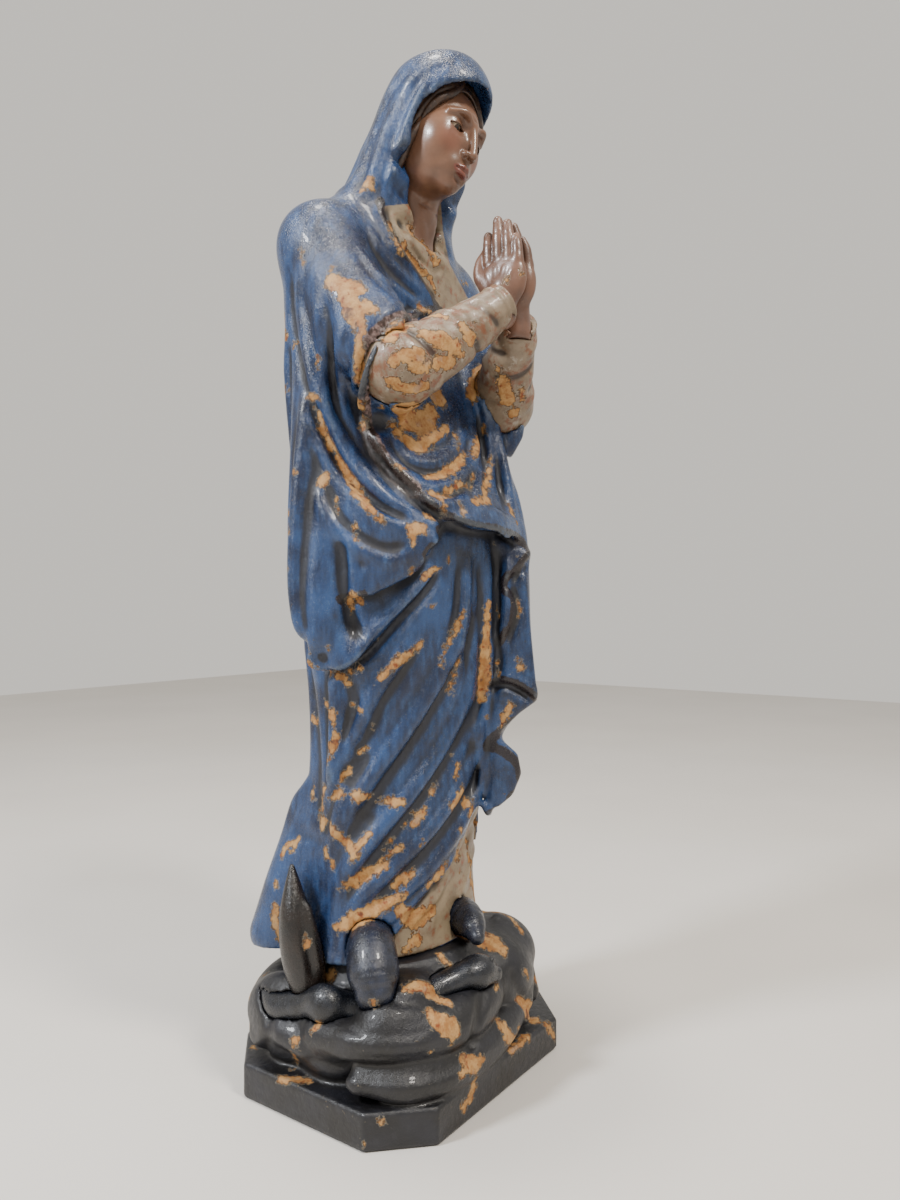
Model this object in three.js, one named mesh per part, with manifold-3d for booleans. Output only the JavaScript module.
// A hollow-cast plaster figure of a praying Madonna on a rocky base, taken apart into the
// castings, glass eyes, iron pins and wooden battens that it is put together from.
// Millimetres, +Z up. The figure faces -Y, her left hand is at +X, the base stands on Z = 0.

import * as THREE from "three";
import { mergeVertices } from "three/addons/utils/BufferGeometryUtils.js";
import Module from "manifold-3d";

const wasm = await Module();
wasm.setup();

// ---------------------------------------------------------------- driving dimensions
const GAP = 0.3; // bed of glue between two flat or round pieces that touch
const BED = 0.8; // bed of plaster round a modelled piece let into another
const WALL = 12; // thickness of the hollow castings
const AROUND = 32; // points in one section of a casting

const PLINTH = { halfWidth: 118, front: -83, back: 106, chamfer: 36, height: 26 };
const BASE_TOP = 104; // the figure stands on the base at this height
const BASE_ROOF = 14; // thickness of the roof over the hollow base
const SEAM_Y = 12; // the front and back castings meet in this upright plane

const ELBOW_RIGHT = { x: -80, y: -50, z: 533 };
const ELBOW_LEFT = { x: 60, y: -42, z: 532 };
const WRIST = { x: 10, y: -89, z: 588 };
const LEFT_WRIST_DROP = 8; // her left hand is set this much lower
const SLEEVE = { elbow: 27, middle: 20.5, wrist: 14.5 };
const SHOULDER = { x: 80, y: 30, z: 640, radius: 27 };
const HEAD = { x: 0, y: -16, z: 733, bow: 15, tilt: 12 };
const EYE = { radius: 5.8, spread: 13.8, forward: 29, above: 2.5 };
const PIN = { wrist: 1.5, elbow: 2.5, neck: 4, horn: 2, nail: 1.6 };
const ELBOW_PIN_END = -12; // y where both elbow pins end, in the solid front of the shoulders
const POST = { side: 22, top: 560 };
const LATH = { width: 24, thick: 10, floor: 3 };
const SCRIM = { width: 34, thick: 2.2, low: 140, high: 560 };

// Sections of the draped figure: height, centre, half width and half depth.
const FIGURE = [
  { z: BASE_TOP + GAP, x: -2, y: 18, a: 92, b: 62 },
  { z: 160, x: 0, y: 18, a: 84, b: 59 },
  { z: 200, x: 0, y: 15, a: 86, b: 59 },
  { z: 250, x: 0, y: 12, a: 86, b: 56 },
  { z: 297, x: 0, y: 10, a: 89, b: 60 },
  { z: 337, x: 0, y: 9, a: 94, b: 66 },
  { z: 410, x: 0, y: 4, a: 102, b: 78 },
  { z: 434, x: 0, y: 3, a: 104, b: 78 },
  { z: 470, x: -1, y: 11, a: 102, b: 70 },
  { z: 530, x: -2, y: 23, a: 102, b: 61 },
  { z: 590, x: -1, y: 30, a: 104, b: 53 },
  { z: 630, x: 0, y: 33, a: 102, b: 47 },
  { z: 655, x: 0, y: 34, a: 92, b: 42 },
  { z: 676, x: 0, y: 30, a: 60, b: 35 },
];

// Sections of the hollow in the figure, solid above the last one.
const HOLLOW = [
  { z: 74, x: -2, y: 18, a: 74, b: 44 },
  { z: 160, x: 0, y: 18, a: 66, b: 41 },
  { z: 250, x: 0, y: 12, a: 68, b: 38 },
  { z: 337, x: 0, y: 10, a: 74, b: 46 },
  { z: 410, x: 0, y: 10, a: 80, b: 52 },
  { z: 470, x: 0, y: 12, a: 84, b: 54 },
  { z: 530, x: 0, y: 22, a: 84, b: 44 },
  { z: 590, x: 0, y: 28, a: 78, b: 32 },
];

// Sections of the rock above the plinth.
const ROCK = [
  { z: PLINTH.height - 8, x: 0, y: 12, a: 108, b: 86 },
  { z: 40, x: 0, y: 12, a: 112, b: 90 },
  { z: 60, x: 0, y: 12, a: 112, b: 90 },
  { z: 82, x: 0, y: 13, a: 105, b: 85 },
  { z: 96, x: 0, y: 14, a: 97, b: 79 },
  { z: BASE_TOP, x: 0, y: 14, a: 88, b: 72 },
];

// Sections of the veil from the crown down to the shoulders.
const VEIL = [
  { z: 797, x: 2, y: -20, a: 8, b: 12 },
  { z: 793, x: 2, y: -20, a: 20, b: 25 },
  { z: 785, x: 2, y: -20, a: 30, b: 36 },
  { z: 771, x: 2, y: -20, a: 38, b: 44 },
  { z: 755, x: 2, y: -18, a: 41, b: 49 },
  { z: 739, x: 1, y: -11, a: 43, b: 49 },
  { z: 723, x: 0, y: -2, a: 46, b: 47 },
  { z: 707, x: 0, y: 4, a: 50, b: 47 },
  { z: 691, x: 0, y: 14, a: 54, b: 45 },
  { z: 676, x: 0, y: 24, a: 66, b: 42 },
  { z: 660, x: 0, y: 30, a: 82, b: 41 },
];

// ---------------------------------------------------------------- materials
const finish = (color, roughness, metalness = 0) =>
  new THREE.MeshStandardMaterial({ color, roughness, metalness });
const MATERIAL = {
  mantle: finish(0x3f6391, 0.42),
  gown: finish(0xa89b83, 0.5),
  flesh: finish(0xa47c62, 0.45),
  rock: finish(0x2e3033, 0.5),
  serpent: finish(0x15181c, 0.35),
  horn: finish(0x1f1a16, 0.3),
  glass: finish(0x1a1410, 0.08),
  iron: finish(0x4a4038, 0.7, 0.8),
  wood: finish(0x9a7446, 0.8),
  jute: finish(0xb5a581, 0.95),
};

// ---------------------------------------------------------------- geometry helpers
const v3 = (x, y, z) => new THREE.Vector3(x, y, z);

// A closed three.js geometry as a manifold-3d solid.
function solid(geometry) {
  const bare = geometry.clone();
  bare.deleteAttribute("normal");
  bare.deleteAttribute("uv");
  const merged = mergeVertices(bare, 1e-4);
  return new wasm.Manifold(
    new wasm.Mesh({
      numProp: 3,
      vertProperties: merged.attributes.position.array,
      triVerts: new Uint32Array(merged.index.array),
    }),
  );
}

// A manifold-3d solid as a three.js geometry.
function geometryOf(made) {
  const mesh = made.getMesh();
  const position = new Float32Array(mesh.numVert * 3);
  for (let i = 0; i < mesh.numVert; i++) {
    const at = i * mesh.numProp;
    position.set(mesh.vertProperties.subarray(at, at + 3), i * 3);
  }
  return new THREE.BufferGeometry()
    .setAttribute("position", new THREE.BufferAttribute(position, 3))
    .setIndex(new THREE.BufferAttribute(mesh.triVerts, 1));
}

// Skins a stack of rings, which all have the same number of points, and caps both ends.
function skin(rings) {
  const count = rings[0].length;
  const position = [];
  const index = [];
  for (const ring of rings) for (const p of ring) position.push(p.x, p.y, p.z);
  for (let k = 0; k + 1 < rings.length; k++)
    for (let i = 0; i < count; i++) {
      const a = k * count + i;
      const b = k * count + ((i + 1) % count);
      index.push(a, b, b + count, a, b + count, a + count);
    }
  const cap = (ring, flip) => {
    const middle = ring.reduce((sum, p) => sum.add(p), v3(0, 0, 0)).divideScalar(count);
    const centre = position.length / 3;
    const first = flip ? 0 : (rings.length - 1) * count;
    position.push(middle.x, middle.y, middle.z);
    for (let i = 0; i < count; i++) {
      const a = first + i;
      const b = first + ((i + 1) % count);
      index.push(...(flip ? [centre, b, a] : [centre, a, b]));
    }
  };
  cap(rings[0], true);
  cap(rings.at(-1), false);
  return new THREE.BufferGeometry()
    .setAttribute("position", new THREE.Float32BufferAttribute(position, 3))
    .setIndex(index);
}

// One section as a ring: an ellipse, with shallow upright pleats of the given depth.
function ring(section, inset = 0, pleat = 0) {
  return Array.from({ length: AROUND }, (_, i) => {
    const t = (2 * Math.PI * i) / AROUND;
    const wave = 1 + pleat * (Math.cos(7 * t + section.z / 90) + 0.6 * Math.cos(11 * t - section.z / 60));
    return v3(
      section.x + (section.a - inset) * wave * Math.cos(t),
      section.y + (section.b - inset) * wave * Math.sin(t),
      section.z,
    );
  });
}

// A slab in the plinth's outline, a rectangle with its corners cut off, shrunk by an inset.
function plinthSlab(inset, low, high) {
  const { halfWidth, front, back, chamfer } = PLINTH;
  const corner = chamfer - inset * (2 - Math.SQRT2);
  const right = halfWidth - inset;
  const near = front + inset;
  const far = back - inset;
  const outline = new THREE.Shape([
    new THREE.Vector2(-right + corner, near),
    new THREE.Vector2(right - corner, near),
    new THREE.Vector2(right, near + corner),
    new THREE.Vector2(right, far - corner),
    new THREE.Vector2(right - corner, far),
    new THREE.Vector2(-right + corner, far),
    new THREE.Vector2(-right, far - corner),
    new THREE.Vector2(-right, near + corner),
  ]);
  const geometry = new THREE.ExtrudeGeometry(outline, { depth: high - low, bevelEnabled: false });
  return solid(geometry.translate(0, 0, low));
}

// A tube with its own radius at each point, round ended, along a smooth curve.
function taperedTube(points, radii, sides = 10, steps = 2) {
  const curve = new THREE.CatmullRomCurve3(points);
  const total = (points.length - 1) * steps;
  const frames = curve.computeFrenetFrames(total, false);
  const circle = (centre, k, radius) =>
    Array.from({ length: sides }, (_, i) => {
      const t = (2 * Math.PI * i) / sides;
      return centre
        .clone()
        .addScaledVector(frames.normals[k], radius * Math.cos(t))
        .addScaledVector(frames.binormals[k], radius * Math.sin(t));
    });
  const at = (k) => curve.getPoint(k / total);
  const radiusAt = (k) => {
    const s = (k / total) * (radii.length - 1);
    const low = Math.min(Math.floor(s), radii.length - 2);
    return THREE.MathUtils.lerp(radii[low], radii[low + 1], s - low);
  };
  const dome = (k, sign) =>
    [0.97, 0.75, 0.4].map((share) => {
      const radius = radiusAt(k);
      const out = radius * Math.sqrt(1 - share * share) * sign;
      return circle(at(k).addScaledVector(frames.tangents[k], out), k, radius * share);
    });
  const rings = [];
  rings.push(...dome(0, -1).reverse());
  for (let k = 0; k <= total; k++) rings.push(circle(at(k), k, radiusAt(k)));
  rings.push(...dome(total, 1));
  return solid(skin(rings));
}

// A straight round pin between two points, grown all round by the given clearance.
function rod(from, to, radius, grow = 0, sides = 16) {
  const along = to.clone().sub(from).normalize();
  const length = from.distanceTo(to) + 2 * grow;
  const turn = new THREE.Quaternion().setFromUnitVectors(v3(0, 1, 0), along);
  const geometry = new THREE.CylinderGeometry(radius + grow, radius + grow, length, sides)
    .applyQuaternion(turn)
    .translate((from.x + to.x) / 2, (from.y + to.y) / 2, (from.z + to.z) / 2);
  return solid(geometry);
}

function box(x0, x1, y0, y1, z0, z1) {
  const geometry = new THREE.BoxGeometry(x1 - x0, y1 - y0, z1 - z0);
  geometry.translate((x0 + x1) / 2, (y0 + y1) / 2, (z0 + z1) / 2);
  return solid(geometry);
}

// An ellipsoid, bowed forward and tilted sideways about its centre, in degrees.
function egg(centre, a, b, c, bow = 0, tilt = 0, detail = 14) {
  const geometry = new THREE.SphereGeometry(1, detail, Math.round(detail * 0.7));
  geometry.scale(a, b, c);
  geometry.rotateX(THREE.MathUtils.degToRad(bow));
  geometry.rotateY(THREE.MathUtils.degToRad(tilt));
  geometry.translate(centre.x, centre.y, centre.z);
  return solid(geometry);
}

const cut = (piece, ...tools) => tools.reduce((left, tool) => left.subtract(tool), piece);
const join = (...pieces) => pieces.reduce((all, piece) => all.add(piece));

// A loft through sections, as a solid.
const loft = (sections, inset = 0, pleat = 0) =>
  solid(skin(sections.map((section) => ring(section, inset, pleat))));

// ---------------------------------------------------------------- arms and hands
const elbowRight = v3(ELBOW_RIGHT.x, ELBOW_RIGHT.y, ELBOW_RIGHT.z);
const elbowLeft = v3(ELBOW_LEFT.x, ELBOW_LEFT.y, ELBOW_LEFT.z);
const wristRight = v3(-WRIST.x, WRIST.y, WRIST.z);
const wristLeft = v3(WRIST.x, WRIST.y, WRIST.z - LEFT_WRIST_DROP);

// The forearm in its sleeve, from the elbow to the cuff, which is cut off square.
function sleeve(elbow, wrist, grow = 0) {
  const radii = [SLEEVE.elbow, SLEEVE.middle, SLEEVE.wrist].map((radius) => radius + grow);
  const points = [0, 0.5, 1].map((share) => elbow.clone().lerp(wrist, share));
  return taperedTube(points, radii, 16, 3);
}

// Everything past the cuff, as a block to trim the sleeve with.
function pastCuff(elbow, wrist, margin) {
  const along = wrist.clone().sub(elbow).normalize();
  const start = wrist.clone().addScaledVector(along, margin);
  return rod(start, start.clone().addScaledVector(along, 60), 60, 0, 24);
}

// A flat praying hand, palm on X = side, with four fingers side by side and a thumb.
function hand(side) {
  const palm = side * (GAP / 2 + 0.1);
  const finger = (y, z, tipY, tipZ, radius) =>
    taperedTube(
      [
        v3(palm + side * 6.2, y, z),
        v3(palm + side * 5.6, (y + tipY) / 2, (z + tipZ) / 2),
        v3(palm + side * 4.6, tipY, tipZ),
      ],
      [radius, radius * 0.95, radius * 0.72],
      8,
      1,
    );
  const parts = [
    taperedTube([v3(side * 9, -86, 588), v3(side * 7.5, -85, 602), v3(side * 7, -84, 620)], [8.5, 9.5, 9], 8, 1),
    taperedTube([v3(side * 8, -94, 598), v3(side * 7, -98, 612), v3(side * 6.4, -99, 624)], [6, 7, 5], 8, 1),
    taperedTube([v3(side * 8, -76, 600), v3(side * 7, -73, 612), v3(side * 6.4, -73, 624)], [6, 7, 5], 8, 1),
    finger(-73, 620, -76, 646, 4.6),
    finger(-82, 622, -84, 655, 4.8),
    finger(-91, 622, -92, 652, 4.7),
    finger(-100, 620, -101, 640, 4.2),
    taperedTube([v3(side * 9, -72, 602), v3(side * 8, -67, 614), v3(side * 6, -68, 626)], [5.5, 5, 3.6], 8, 1),
  ];
  const halfSpace = side > 0 ? box(palm, 60, -140, -40, 540, 700) : box(-60, palm, -140, -40, 540, 700);
  return join(...parts).intersect(halfSpace);
}

const armBlock = (side, elbow) =>
  taperedTube(
    [v3(side * SHOULDER.x, SHOULDER.y, SHOULDER.z), v3(side * 84, -8, 588), elbow.clone().add(v3(side * -1, 8, 2))],
    [SHOULDER.radius, 30, 33],
    16,
    2,
  );

// The fall of mantle from her left forearm, in tiers.
const frontFall = () =>
  join(
    taperedTube(
      [v3(42, -42, 500), v3(48, -58, 430), v3(46, -62, 360), v3(42, -58, 300), v3(38, -50, 262)],
      [11, 13, 14, 12, 7],
      12,
      2,
    ),
    egg(v3(50, -74, 352), 22, 16, 62),
    egg(v3(46, -62, 236), 18, 13, 38),
  );

// The train of the mantle, which spreads over the rock behind her right side.
const train = () =>
  taperedTube([v3(-52, 52, 196), v3(-68, 62, 150), v3(-79, 74, 124)], [25, 26, 19], 14, 2);

// The loop of mantle that hangs from the elbow.
const hangingLoop = (side) =>
  taperedTube(
    [v3(side * 88, 12, 560), v3(side * 92, 20, 480), v3(side * 93, 20, 400), v3(side * 88, 2, 340)],
    [18, 19, 20, 14],
    14,
    2,
  );

const handRightWhole = hand(-1);
const handLeftWhole = hand(1);
const handRight = cut(handRightWhole, sleeveEnd(elbowRight, wristRight));
const handLeft = cut(handLeftWhole, sleeveEnd(elbowLeft, wristLeft));

// The part of space that a sleeve fills, up to its cuff, with the glue gap around it.
function sleeveEnd(elbow, wrist) {
  return cut(sleeve(elbow, wrist, GAP), pastCuff(elbow, wrist, GAP));
}

// The iron pin across the wrist, and the one from the elbow back into the body.
function wristPin(elbow, wrist, grow = 0) {
  const along = wrist.clone().sub(elbow).normalize();
  const from = wrist.clone().addScaledVector(along, -9);
  return rod(from, wrist.clone().addScaledVector(along, 5), PIN.wrist, grow, 10);
}
function elbowPin(side, elbow, grow = 0) {
  const from = elbow.clone().add(v3(-side * 4, -4, 2));
  const into = v3(elbow.x + side * 2, ELBOW_PIN_END, elbow.z + 18);
  return rod(from, into, PIN.elbow, grow, 12);
}

// ---------------------------------------------------------------- head, eyes and veil
const headCentre = v3(HEAD.x, HEAD.y, HEAD.z);
const headTurn = new THREE.Euler(
  THREE.MathUtils.degToRad(HEAD.bow),
  THREE.MathUtils.degToRad(HEAD.tilt),
  0,
);

// A point given in the upright head's own frame, carried along with its bow and tilt.
const onHead = (x, y, z) => v3(x, y, z).applyEuler(headTurn).add(headCentre);

function headBlock(grow = 0) {
  const skull = egg(onHead(0, 6, 8), 33 + grow, 38 + grow, 38 + grow, HEAD.bow, HEAD.tilt);
  const jaw = egg(onHead(0, -8, -18), 24 + grow, 25 + grow, 33 + grow, HEAD.bow, HEAD.tilt);
  const nose = egg(onHead(0, -35, -8), 4 + grow, 5 + grow, 10 + grow, HEAD.bow, HEAD.tilt, 10);
  const neck = taperedTube(
    [v3(0, 12, 650), v3(0, 4, 676), v3(0, -4, 704)],
    [27 + grow, 20 + grow, 20 + grow],
    16,
    1,
  );
  return join(skull, jaw, nose, neck);
}

const eyeCentre = (side) => onHead(side * EYE.spread, -EYE.forward, EYE.above);
const eyeball = (side, grow = 0) => {
  const radius = EYE.radius + grow;
  return egg(eyeCentre(side), radius, radius, radius, 0, 0, 12);
};

const neckPin = (grow = 0) => rod(v3(0, 12, 606), v3(0, 4, 690), PIN.neck, grow);

function veil() {
  const outer = loft([...VEIL].reverse());
  const face = join(
    egg(onHead(0, -38, -4), 36, 40, 46, HEAD.bow, HEAD.tilt),
    taperedTube([v3(0, -46, 706), v3(0, -40, 680), v3(0, -36, 650)], [30, 26, 20], 14, 1),
  );
  return cut(outer, headBlock(GAP), face);
}

// ---------------------------------------------------------------- base, moon and serpent
const baseBlock = () => join(plinthSlab(0, 0, PLINTH.height), loft(ROCK));

function baseHollow() {
  const roof = { ...ROCK.at(-2), z: BASE_TOP - BASE_ROOF };
  const above = [{ ...ROCK[1], z: WALL - 2 }, ...ROCK.slice(1, -2), roof];
  return join(plinthSlab(WALL, -1, WALL + 2), loft(above, WALL + 2));
}

const hornPath = (side) => [
  v3(side * 90, 22, 74),
  v3(side * 96, 26, 90),
  v3(side * 100, 29, 112),
  v3(side * 102, 33, 138),
  v3(side * 98, 39, 172),
];
const moonHorn = (side, grow = 0) =>
  taperedTube(hornPath(side), [7, 13, 14.5, 11.5, 2].map((r) => r + grow), 10, 2);
const hornPin = (side, grow = 0) =>
  rod(v3(side * 80, 20, 62), v3(side * 92, 26, 100), PIN.horn, grow, 10);

const serpentPath = [
  v3(-98, 64, 78),
  v3(-108, 30, 78),
  v3(-104, 14, 82),
  v3(-96, -22, 80),
  v3(-84, -42, 84),
  v3(-42, -62, 92),
  v3(-4, -76, 93),
  v3(12, -80, 88),
];
const serpent = (grow = 0) =>
  taperedTube(serpentPath, [7, 11, 12, 10, 10, 10, 12, 6].map((r) => r + grow), 10, 2);

const shoeRight = (grow = 0) =>
  taperedTube([v3(-62, -6, 122), v3(-77, -19, 116), v3(-88, -32, 97)], [15 + grow, 18 + grow, 16 + grow], 14, 2);
const shoeLeft = (grow = 0) =>
  taperedTube([v3(16, -34, 120), v3(9, -46, 121), v3(-1, -60, 115)], [15 + grow, 15 + grow, 9 + grow], 14, 2);

// ---------------------------------------------------------------- frame inside the hollow
const lathLong = (grow = 0) =>
  box(-108 - grow, 108 + grow, SEAM_Y - 12 - grow, SEAM_Y + 12 + grow, LATH.floor - grow, LATH.floor + LATH.thick + grow);
const lathShortFloor = LATH.floor + LATH.thick + GAP;
const lathShort = (grow = 0) =>
  box(-LATH.width / 2 - grow, LATH.width / 2 + grow, -76 - grow, 103 + grow, lathShortFloor - grow, lathShortFloor + LATH.thick + grow);
const postFloor = lathShortFloor + LATH.thick + GAP;
const post = (grow = 0) => {
  const half = POST.side / 2 + grow;
  return box(-half, half, SEAM_Y - half, SEAM_Y + half, postFloor, POST.top + grow);
};
const nail = (grow = 0) => rod(v3(0, SEAM_Y, LATH.floor - 2), v3(0, SEAM_Y, 70), PIN.nail, grow, 8);

const hollow = (inset = 0) => loft(HOLLOW, inset);

function scrim(side) {
  const strip = box(
    side > 0 ? 20 : -130,
    side > 0 ? 130 : -20,
    SEAM_Y - SCRIM.width / 2,
    SEAM_Y + SCRIM.width / 2,
    SCRIM.low,
    SCRIM.high,
  );
  return cut(hollow(GAP), hollow(GAP + SCRIM.thick)).intersect(strip);
}

// ---------------------------------------------------------------- the castings
const sleeveRight = cut(sleeve(elbowRight, wristRight), pastCuff(elbowRight, wristRight, 0));
const sleeveLeft = cut(sleeve(elbowLeft, wristLeft), pastCuff(elbowLeft, wristLeft, 0));

const figureWhole = cut(
  join(
    loft(FIGURE, 0, 0.02),
    armBlock(-1, elbowRight),
    armBlock(1, elbowLeft),
    hangingLoop(-1),
    hangingLoop(1),
    frontFall(),
    train(),
  ),
  hollow(),
  headBlock(GAP),
  loft([...VEIL].reverse(), -GAP),
  sleeveEnd(elbowRight, wristRight),
  sleeveEnd(elbowLeft, wristLeft),
  handRightWhole,
  handLeftWhole,
  neckPin(GAP),
  elbowPin(-1, elbowRight, GAP),
  elbowPin(1, elbowLeft, GAP),
  shoeRight(BED),
  shoeLeft(BED),
  moonHorn(-1, BED),
  moonHorn(1, BED),
);
const half = (front) =>
  front
    ? box(-200, 200, -200, SEAM_Y - GAP / 2, 50, 850)
    : box(-200, 200, SEAM_Y + GAP / 2, 200, 50, 850);
const largest = (piece) =>
  piece.decompose().reduce((best, body) => (body.volume() > best.volume() ? body : best));

const baseCasting = cut(
  baseBlock(),
  baseHollow(),
  box(-30, 30, SEAM_Y - 30, SEAM_Y + 30, 60, 140),
  serpent(BED),
  shoeRight(BED),
  shoeLeft(BED),
  moonHorn(-1, BED),
  moonHorn(1, BED),
  hornPin(-1, GAP),
  hornPin(1, GAP),
  lathLong(GAP),
  lathShort(GAP),
);

// ---------------------------------------------------------------- the assembly
const group = new THREE.Group();
function add(name, piece, material) {
  const mesh = new THREE.Mesh(geometryOf(largest(piece)), material);
  mesh.name = name;
  group.add(mesh);
}

add("base_casting", baseCasting, MATERIAL.rock);
add("serpent", cut(serpent(), shoeRight(BED), moonHorn(-1, BED)), MATERIAL.serpent);
add("shoe_right", shoeRight(), MATERIAL.serpent);
add("shoe_left", shoeLeft(), MATERIAL.serpent);
add("figure_front", figureWhole.intersect(half(true)), MATERIAL.mantle);
add("figure_back", figureWhole.intersect(half(false)), MATERIAL.mantle);
add("veil_hood", veil(), MATERIAL.mantle);
add("head_and_neck", cut(headBlock(), eyeball(-1, GAP), eyeball(1, GAP), neckPin(GAP)), MATERIAL.flesh);
add("neck_pin", neckPin(), MATERIAL.iron);
add("armature_post", cut(post(), nail(GAP)), MATERIAL.wood);
add("base_lath_long", cut(lathLong(), nail(GAP)), MATERIAL.wood);
add("base_lath_short", cut(lathShort(), nail(GAP)), MATERIAL.wood);
add("post_nail", nail(), MATERIAL.iron);

const SIDES = [
  { side: -1, word: "right", elbow: elbowRight, wrist: wristRight, arm: sleeveRight, palm: handRight },
  { side: 1, word: "left", elbow: elbowLeft, wrist: wristLeft, arm: sleeveLeft, palm: handLeft },
];
for (const { side, word, elbow, wrist, arm, palm } of SIDES) {
  add(`eye_${word}`, eyeball(side), MATERIAL.glass);
  add(`sleeve_${word}`, cut(arm, wristPin(elbow, wrist, GAP), elbowPin(side, elbow, GAP)), MATERIAL.gown);
  add(`hand_${word}`, cut(palm, wristPin(elbow, wrist, GAP)), MATERIAL.flesh);
  add(`wrist_pin_${word}`, wristPin(elbow, wrist), MATERIAL.iron);
  add(`elbow_pin_${word}`, elbowPin(side, elbow), MATERIAL.iron);
  add(`moon_horn_${word}`, cut(moonHorn(side), hornPin(side, GAP)), MATERIAL.horn);
  add(`horn_pin_${word}`, hornPin(side), MATERIAL.iron);
  add(`seam_scrim_${word}`, scrim(side), MATERIAL.jute);
}

export default group;
